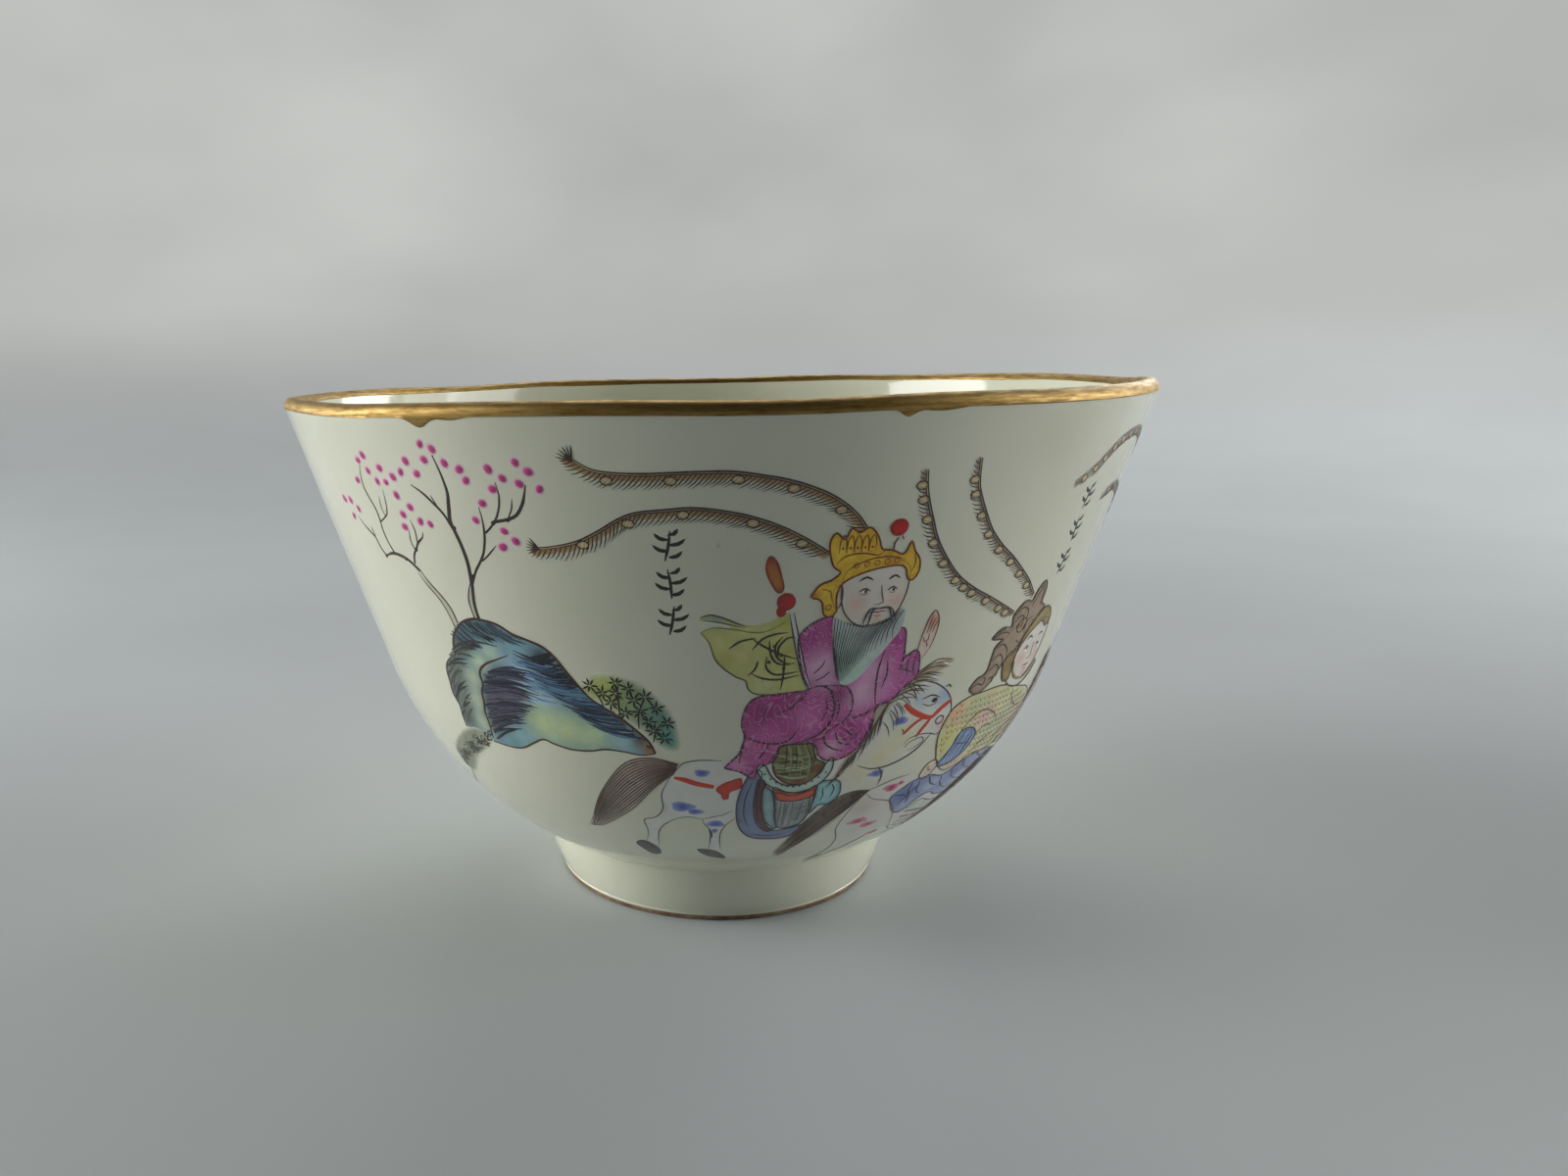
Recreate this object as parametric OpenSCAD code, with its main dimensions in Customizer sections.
// Porcelain gaiwan bowl. A turned bowl stands on a foot ring, its lip is gilt,
// and riders, a rock and a blossom tree are painted round it in raised enamel.
// Lengths are in millimetres and +Z is up. The foot stands on z = 0 and the
// bowl's axis is the Z axis. The middle of the painting faces -Y.

/* [Bowl] */
// Diameter over the lip
rim_d = 110; // [92:1:132]
// Height from the table to the lip
bowl_h = 66.5; // [55:0.5:80]
// Thickness of the porcelain wall
wall_t = 2; // [1.4:0.1:2.6]
// Lean of the straight upper wall, in degrees from upright
flare = 18.3; // [16:0.1:20]
// Radius of the round belly under the straight wall
belly_r = 45; // [42:1:54]
// Thickness of the floor in its middle
floor_t = 3; // [2.4:0.1:4.5]
// Radius of the shallow dish that the floor is turned to
dish_r = 90; // [75:1:120]

/* [Foot] */
// Diameter of the foot ring where it meets the wall
foot_d = 48; // [40:1:57]
// Height of the foot ring
foot_h = 8; // [6.5:0.5:10]
// Thickness of the foot ring
foot_t = 3; // [2.4:0.1:4]
// How far the foot ring draws in from the wall to the table
foot_draw = 2; // [0:0.1:3]
// Small ledge where the wall overhangs the foot ring
foot_step = 0.6; // [0.2:0.1:1.5]
// Depth of the hollow under the floor
recess_h = 6; // [4:0.5:6.5]
// Height of the wiped, unglazed edge that the bowl stands on
bare_h = 0.5; // [0.3:0.1:1]
// How far the unglazed edge is set in from the glaze on each side
bare_inset = 0.3; // [0.1:0.1:0.6]

/* [Gilding] */
// Thickness of the gilding
gilt_t = 0.1; // [0.05:0.01:0.2]
// Height of the gilt band outside the lip
gilt_out = 1.5; // [1:0.1:3]
// Height of the gilt band inside the lip
gilt_in = 1.1; // [1:0.1:3]

/* [Enamel] */
// How far the enamels stand out from the glaze
enamel_t = 0.2; // [0.1:0.05:0.4]
// Radius of one blossom
blossom_r = 0.5; // [0.3:0.05:0.8]
// Width of a pheasant plume
plume_w = 1.3; // [0.8:0.1:2]
// Width of a branch where it leaves the rock
branch_w = 1.1; // [0.6:0.1:1.6]
// Width of a horse's tail at its root
tail_w = 2.8; // [1.6:0.1:3.4]
// Width of a rider's head, in degrees round the wall
head_w = 8.4; // [7:0.1:9]
// Height of a rider's head, in rows of the painting's grid
head_h = 7.4; // [6:0.1:8]
// How much wider than its middle a head is at the top, and narrower below, as a share
head_taper = 0.12; // [0:0.01:0.2]
// Radius of one ink sprig
sprig_r = 1.6; // [1:0.1:2]
// Gap between one ink sprig and the next
sprig_gap = 0.6; // [0.3:0.1:1.5]
// Radius of one tuft of pine needles
needle_r = 2.2; // [1.4:0.1:3]
// Step round the bowl from the second rider to the third, in degrees
rider_step = 34; // [32:1:38]

/* [Hidden] */
$fn = 96;

// Section of the wall, as [radius, height] points
lip_r = wall_t / 2;
lip_c = [rim_d / 2 - lip_r, bowl_h - lip_r];
out = [cos(flare), -sin(flare)];
along = [sin(flare), cos(flare)];
wall_top = lip_c + lip_r * out;
foot_pt = [foot_d / 2 + foot_step, foot_h];
// The belly arc touches the straight wall and runs down to the foot
to_arc = wall_top - belly_r * out - foot_pt;
straight = to_arc * along - sqrt(pow(belly_r, 2) - pow(to_arc * out, 2));
belly_top = wall_top - straight * along;
belly_c = belly_top - belly_r * out;
floor_top = recess_h + floor_t;
foot_out = foot_d / 2;
foot_in = foot_out - foot_t;
join = 0.5;
// The foot ring's inner side at height z, where the floor meets it
function ring_in(z) = foot_in - foot_draw * (foot_h - z) / (foot_h - recess_h / 2);

// The painting is drawn on a grid of [degrees round from -Y, row] points,
// with row 8 at the foot and row 65 at the gilding
grid_foot = 8;
grid_top = 65;
paint_top = bowl_h - gilt_out;
function paint_z(row) = foot_h + (row - grid_foot) * (paint_top - foot_h) / (grid_top - grid_foot);
function wall_r(z) = z > belly_top.y ? belly_top.x + (z - belly_top.y) * tan(flare)
    : belly_c.x + sqrt(pow(belly_r, 2) - pow(z - belly_c.y, 2));
// The point that lies d millimetres round the wall and up from p
function beside(p, d) = [p.x + d.x / wall_r(paint_z(p.y)) * 180 / PI,
    p.y + d.y * (grid_top - grid_foot) / (paint_top - foot_h)];
function flat(p, mid) = [wall_r(paint_z(p.y)) * sin(p.x - mid), paint_z(p.y)];
function turned(pts, step) = [for (p = pts) [p.x + step, p.y]];
function all_turned(lines, step) = [for (line = lines) turned(line, step)];
function middle(pts) = (min([for (p = pts) p.x]) + max([for (p = pts) p.x])) / 2;

// A smooth curve through points, with n steps from each to the next
function spline(a, b, c, d, t) = 0.5 * (2 * b + (c - a) * t + (2 * a - 5 * b + 4 * c - d) * t * t
    + (3 * b - a - 3 * c + d) * t * t * t);
function curve(p, n = 2) = let (e = len(p) - 1) [for (i = [0:e - 1], s = [0:n - 1])
    spline(p[max(i - 1, 0)], p[i], p[i + 1], p[min(i + 2, e)], s / n), p[e]];
// The outline of a brush stroke w0 wide at its start and w1 at its end
function side(q, i, w0, w1) = let (e = len(q) - 1, d = q[min(i + 1, e)] - q[max(i - 1, 0)])
    [-d.y, d.x] / norm(d) * (w0 + (w1 - w0) * i / e) / 2;
function ribbon(q, w0, w1) = let (e = len(q) - 1)
    [for (i = [0:e]) q[i] + side(q, i, w0, w1), for (i = [e:-1:0]) q[i] - side(q, i, w0, w1)];

// Outlines of the painting
rock_line = [[-41, 29], [-42, 34], [-39, 39], [-35, 43], [-30, 43.5], [-24, 42], [-19, 38], [-13, 33],
    [-8, 29], [-16, 29], [-24, 30], [-30, 28], [-36, 28]];
shrub_line = [[-16, 36], [-14, 38.5], [-10, 38], [-7, 35], [-5.5, 30.5], [-8, 30.5], [-12, 33.5]];
tuft_line = [[-51, 22], [-48, 26], [-42, 28.5], [-41.5, 26], [-47, 22]];
branch_lines = [
    [[-35, 43.2], [-36.5, 45.5], [-39, 48.5], [-41, 49.8], [-46, 50], [-49, 53.5]],
    [[-42, 50.4], [-44, 53.5], [-45, 57], [-44, 60]],
    [[-31, 43.8], [-31.5, 46.2], [-30, 49], [-30, 53], [-32, 56], [-35, 59]],
    [[-29, 49.8], [-26, 53.7], [-23, 55.5], [-20, 58.5]]];
blossom_spots = [[-52, 56], [-50.2, 56.4], [-51.2, 54.2], [-48.6, 55.2], [-45.8, 58.4], [-44.4, 61.2],
    [-42.6, 59.6], [-42.4, 61.4], [-41, 58.2], [-39.6, 60], [-39.3, 58.3], [-38, 59.4], [-38.4, 57],
    [-36.4, 60.2], [-36.6, 55.8], [-38.6, 54.8], [-35.6, 54.4], [-33.8, 54.6], [-34.6, 60.9],
    [-33.2, 60], [-32, 62.4], [-30.2, 62], [-31.4, 60.7], [-29, 60.8], [-27.2, 59.6], [-23.6, 60.2],
    [-20, 60.8], [-18.8, 60], [-22, 59.2], [-18, 58.2], [-24, 58.2], [-26, 56.8], [-27.2, 54.8],
    [-23.2, 53.6], [-22, 52.6], [-24.4, 52.2]];
sprig_spots = [for (i = [1:-1:-1]) beside([-5, 48.8], [0, i * (2 * sprig_r + sprig_gap)])];
plume_lines = [
    [[-15, 61.5], [-12, 59.4], [-4, 59.2], [4, 59.4], [11, 57.4], [16, 54.6]],
    [[-20.5, 52], [-16, 52.4], [-10, 55.2], [-3, 56], [5, 54.8], [11.5, 52]]];
baton_line = [[6.2, 51.5], [8.3, 46.8], [9.6, 42.5], [12, 37.6]];
banner_line = [[-1.5, 45.5], [4, 44], [9.2, 44.6], [9.6, 42], [11.4, 37.5], [5, 36.8], [2, 40], [0, 42.5]];
// Every rider's head is the same plain egg, narrower below, round its own spot. The crown,
// the helmet, the beard and the armour reach in under it, and their share of it is cut out
head_spots = [[18.7, 47], [51.2, 36.8]];
head_turn = 22.5;
function egg(c) = [for (t = [0:head_turn:360 - head_turn])
    c + [head_w / 2 * (1 + head_taper * sin(t)) * cos(t), head_h / 2 * sin(t)]];
crown_line = [[13.8, 46], [11, 47.5], [13, 49], [12.4, 52], [16, 54.4], [19, 53.6], [21, 51.4],
    [23.4, 52], [23.8, 48.6], [18.7, 47.6]];
beard_line = [[14.4, 44.8], [22.8, 44.8], [21.6, 41], [17.4, 37.2], [15.4, 40]];
robe_line = [[10.2, 44.4], [13, 45.2], [14.4, 44.8], [15.4, 40], [17.4, 37.2], [21.6, 41], [23.4, 43],
    [24.6, 40.4], [27, 38.8], [28, 37.2], [24, 34.5], [22, 31], [19, 28.4], [15.6, 28], [14, 30],
    [8, 30], [6, 27.4], [2, 28], [4, 31], [4, 34.6], [6.5, 36.9], [11.4, 37.5]];
hand_line = [[27, 38.8], [24.6, 40.4], [26.6, 41.2], [27.2, 44.2], [28.6, 42], [28, 37.2]];
boot_line = [[8, 30], [14, 30], [15.6, 28], [16.4, 25.6], [12, 24.6], [9, 26]];
cloth_line = [[4.4, 26.8], [8, 27.6], [9, 26], [12, 24.6], [16.4, 25.6], [19, 24.6], [17, 20], [13, 17.4],
    [8, 17], [5, 20], [3.8, 24]];
horse_line = [[-6.5, 28], [2, 28], [4.4, 26.8], [3.8, 24], [5, 20], [0.5, 19.6], [0, 14], [-3.4, 13.8],
    [-1.6, 16], [-2, 20], [-10, 18.6], [-11.4, 13.6], [-15.4, 14.6], [-12, 18.6], [-7, 23]];
neck_line = [[15.6, 28], [19, 28.4], [22, 31], [24, 34.5], [28, 37.2], [33.4, 35], [35.5, 32],
    [33.6, 29.8], [28, 28.4], [25, 26.6], [19, 24.6], [16.4, 25.6]];
tail_line = [[-6.8, 28], [-12, 26.6], [-17, 22.6], [-22, 18.4]];
second_plume_lines = [
    [[22, 59.4], [23.2, 55.4], [26.5, 51], [32, 47.4], [41, 43.6]],
    [[28.5, 60], [29.8, 56], [33.5, 51.6], [39, 48], [46, 45]]];
helmet_line = [[41, 34.6], [39.4, 39], [42, 43.4], [46, 45], [50, 43.6], [55, 40], [51.2, 37],
    [48.6, 34.8]];
armour_line = [[35.6, 32.6], [41, 34.6], [48.6, 34.8], [54.4, 34], [58, 31], [60, 25],
    [52, 24.4], [44, 23.6], [38, 24.4], [36.6, 29]];
skirt_line = [[38, 24.4], [44, 23.6], [52, 24.4], [60, 25], [62, 20], [54, 16.4], [44, 16], [38, 18.4],
    [31, 21]];
second_horse_line = [[28, 22.6], [31, 21], [38, 18.4], [44, 16], [54, 16.4], [54, 13], [46, 11], [36, 12],
    [28, 11.6], [26.4, 15]];
second_tail_line = [[26, 22.8], [21, 21], [17, 17], [13.4, 13.6]];
third_plume_lines = [
    [[12, 56.6], [16, 58.2], [22, 61], [30, 61.4], [38, 58.4], [43, 53], [46, 46.4]],
    [[22, 54.4], [28, 55.4], [35, 53], [40, 48], [42.4, 44.6]]];
back_rock_line = [[150, 26], [152, 34], [158, 40], [166, 41], [174, 36], [184, 31], [190, 26], [178, 24.6],
    [164, 25.4]];
pine_lines = [
    [[163, 42.2], [166, 46], [172, 49], [176, 53], [184, 57]],
    [[170.4, 46.2], [176, 47], [183, 46]],
    [[164, 46.6], [160, 51], [153, 55]]];
// A tuft sits just past the tip of each bough, and three more stand above them
pine_tips = [for (line = pine_lines) line[len(line) - 1]];
needle_spots = [beside(pine_tips[0], [1.8, 1.4]), beside(pine_tips[1], [2.9, 0.8]),
    beside(pine_tips[2], [-2.2, 1.6]), [178, 57.2], [158, 55.8], [169, 54]];
back_shrub_line = [[188, 31.4], [192, 34.4], [198, 33], [201, 28], [197, 25.4], [191.6, 26.6]];
bird_spots = [[232, 54], [243, 49], [225, 46]];
bird_line = [[-3.2, 1.6], [0, 1.2], [3, 3], [1.6, 0.2], [2.6, -1.2], [-0.6, -0.8]];

module belly(o) translate(belly_c) circle(belly_r + o);

// Everything below the line where the straight wall begins, with a small overlap
module below_straight() polygon([[0, foot_h], [belly_c.x + 2 * belly_r, foot_h],
    belly_c + 2 * belly_r * out + join * along, [0, belly_c.y + belly_c.x * tan(flare) + join]]);

// The straight wall, from surface a to surface b, measured out from the glaze
module straight_wall(a, b) polygon([belly_top + b * out, wall_top + b * out, wall_top + a * out,
    belly_top + a * out]);

module bowl_wall() color("ivory") rotate_extrude() {
    straight_wall(-wall_t, 0);
    translate(lip_c) circle(lip_r);
    difference() {
        intersection() {
            belly(0);
            below_straight();
        }
        intersection() {
            belly(-wall_t);
            translate([0, floor_top + dish_r]) circle(dish_r);
        }
    }
    polygon([[0, recess_h], [ring_in(recess_h), recess_h], [foot_in, foot_h], [foot_in, foot_h + join],
        [0, foot_h + join]]);
}

module foot_ring() color("ivory") rotate_extrude() polygon([[foot_in, foot_h], [foot_out, foot_h],
    [foot_out - foot_draw, bare_h], [foot_in - foot_draw, bare_h], [foot_in - foot_draw, recess_h / 2]]);

module foot_edge() color("peru") rotate_extrude()
    translate([foot_in - foot_draw + bare_inset, 0]) square([foot_t - 2 * bare_inset, bare_h]);

// The gilding follows the rounded lip and stops at its own height on each side
module gilt_rim() color("goldenrod") rotate_extrude() intersection() {
    difference() {
        union() {
            translate(lip_c) circle(lip_r + gilt_t);
            straight_wall(-wall_t - gilt_t, gilt_t);
        }
        translate(lip_c) circle(lip_r);
        straight_wall(-wall_t, 0);
    }
    union() {
        translate([lip_c.x, paint_top]) square([wall_t, gilt_out + gilt_t]);
        translate([lip_c.x - 2 * wall_t, bowl_h - gilt_in]) square([2 * wall_t, gilt_in + gilt_t]);
    }
}

// The thin layer over the glaze that every enamel is cut from
module enamel_layer() rotate_extrude() {
    straight_wall(0, enamel_t);
    intersection() {
        difference() {
            belly(enamel_t);
            belly(0);
        }
        below_straight();
    }
}

// A plug through the wall, square to it at azimuth mid
module through(outline, mid) rotate([90, 0, mid]) linear_extrude(rim_d) polygon(outline);

module plug(pts) through([for (p = pts) flat(p, middle(pts))], middle(pts));

module brush(lines, w0, w1) for (line = lines)
    through(ribbon([for (p = curve(line)) flat(p, middle(line))], w0, w1), middle(line));

// Short round plugs through the wall
module dots(points, r) for (p = points) let (z = paint_z(p.y))
    rotate([90, 0, p.x]) translate([0, z, wall_r(z) - wall_t]) cylinder(r = r, h = 2 * wall_t, $fn = 24);

// Enamel inside an outline, less what is painted over it
module patch(pts) intersection() {
    enamel_layer();
    difference() {
        plug(pts);
        children();
    }
}

// Enamel in the shape of the plugs that follow
module enamel() intersection() {
    enamel_layer();
    union() children();
}

module rock() color("darkslategray") patch(rock_line) horse_tail(tail_line);
module green_shrub() color("olivedrab") patch(shrub_line);
module grey_shrub() color("dimgray") patch(tuft_line);
module tree_branches() color("saddlebrown") enamel() brush(branch_lines, branch_w, branch_w / 3);
module blossoms() color("deeppink") enamel() dots(blossom_spots, blossom_r);
module leaf_sprigs() color("black") enamel() dots(sprig_spots, sprig_r);

module first_plumes() color("peru") enamel() brush(plume_lines, plume_w, plume_w);
module baton_brush() brush([baton_line], plume_w, plume_w / 3);
module baton() color("orangered") enamel() baton_brush();
module banner() color("khaki") patch(banner_line) baton_brush();
module first_crown() color("gold") patch(crown_line) {
    brush(plume_lines, plume_w, plume_w);
    plug(egg(head_spots[0]));
}
module first_head() color("mistyrose") patch(egg(head_spots[0]));
module first_beard() color("gray") patch(beard_line) plug(egg(head_spots[0]));
module first_robe() color("mediumvioletred") patch(robe_line) baton_brush();
module first_hand() color("mistyrose") patch(hand_line);
module first_boot() color("sienna") patch(boot_line);
module saddle_cloth() color("steelblue") patch(cloth_line) horse_tail(second_tail_line);
module first_horse() color("whitesmoke") {
    patch(horse_line);
    patch(neck_line) horse_tail(second_tail_line);
}
module horse_tail(line) brush([line], tail_w, tail_w / 2);
module first_tail() color("rosybrown") enamel() horse_tail(tail_line);

// The second rider, and the third a step further round the bowl
function head_round(step) = turned(egg(head_spots[1]), step);
module plumes(lines) color("peru") enamel() brush(lines, plume_w, plume_w);
module helmet(step, lines) color("darkgoldenrod") patch(turned(helmet_line, step)) {
    brush(lines, plume_w, plume_w);
    plug(head_round(step));
}
module head(step) color("mistyrose") patch(head_round(step));
module armour(step) color("darkkhaki") patch(turned(armour_line, step)) plug(head_round(step));
module next_tail() horse_tail(turned(second_tail_line, rider_step));
module second_plumes() plumes(second_plume_lines);
module second_helmet() helmet(0, second_plume_lines);
module second_head() head(0);
module second_armour() armour(0);
module second_skirt() color("slateblue") patch(skirt_line) next_tail();
module second_horse() color("whitesmoke") patch(second_horse_line) next_tail();
module second_tail() color("rosybrown") enamel() horse_tail(second_tail_line);
module third_plumes() plumes(all_turned(third_plume_lines, rider_step));
module third_helmet() helmet(rider_step, all_turned(third_plume_lines, rider_step));
module third_head() head(rider_step);
module third_armour() armour(rider_step);
module third_skirt() color("slateblue") patch(turned(skirt_line, rider_step));
module third_horse() color("whitesmoke") patch(turned(second_horse_line, rider_step));
module third_tail() color("rosybrown") enamel() next_tail();

module back_rock() color("darkslategray") patch(back_rock_line);
module pine_needles() color("olivedrab") enamel() dots(needle_spots, needle_r);
module back_pine() color("saddlebrown") intersection() {
    enamel_layer();
    difference() {
        brush(pine_lines, branch_w, branch_w / 3);
        dots(needle_spots, needle_r);
    }
}
module back_shrub() color("olivedrab") patch(back_shrub_line);
module birds() color("slategray") for (p = bird_spots)
    patch([for (q = bird_line) p + q]);

bowl_wall();
foot_ring();
foot_edge();
gilt_rim();
rock();
green_shrub();
grey_shrub();
tree_branches();
blossoms();
leaf_sprigs();
first_plumes();
baton();
banner();
first_crown();
first_head();
first_beard();
first_robe();
first_hand();
first_boot();
saddle_cloth();
first_horse();
first_tail();
second_plumes();
second_helmet();
second_head();
second_armour();
second_skirt();
second_horse();
second_tail();
third_plumes();
third_helmet();
third_head();
third_armour();
third_skirt();
third_horse();
third_tail();
back_rock();
back_pine();
pine_needles();
back_shrub();
birds();
